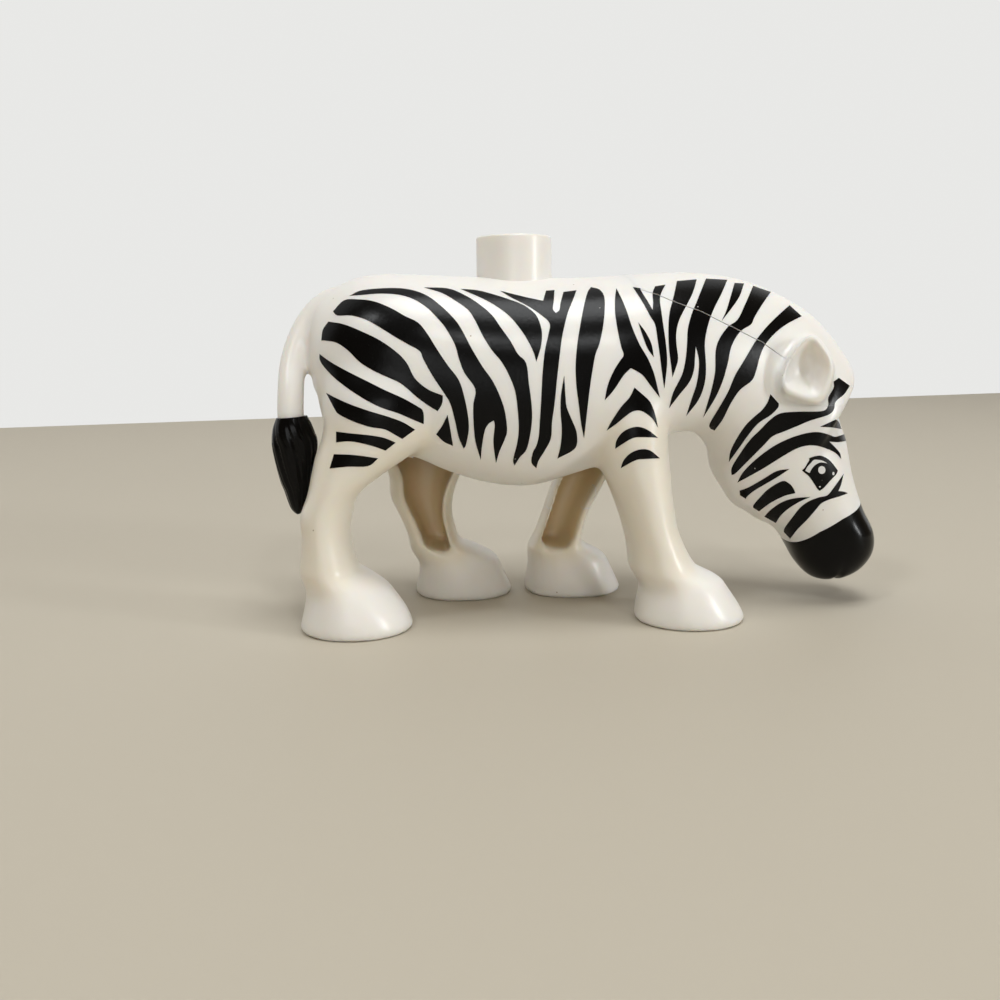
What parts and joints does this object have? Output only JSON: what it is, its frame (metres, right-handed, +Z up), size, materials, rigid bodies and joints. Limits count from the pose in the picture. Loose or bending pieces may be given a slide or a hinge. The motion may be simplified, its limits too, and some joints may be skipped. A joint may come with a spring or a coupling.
{
  "type": "toy wild animal figure",
  "caption": "Moulded toy zebra in a walking pose with lowered head, a round building stud on its back, a mane insert with ears, a belly plate, a black muzzle and a tail tuft.",
  "frame": {"origin": "on the plane under the four hooves, below the middle of the figure's box", "axes": "+X toward the head, +Z up, -Y toward the side that the picture shows"},
  "size_m": [0.077, 0.0292, 0.047],
  "materials": {
    "white_plastic": "soft gloss white moulded plastic with printed black stripes",
    "black_plastic": "glossy black moulded plastic"
  },
  "bodies": {
    "root": {"body_shell": "white_plastic", "mane_insert": "white_plastic", "belly_plate": "white_plastic", "muzzle_cap": "black_plastic", "tail_tuft": "black_plastic"}
  },
  "joints": []
}
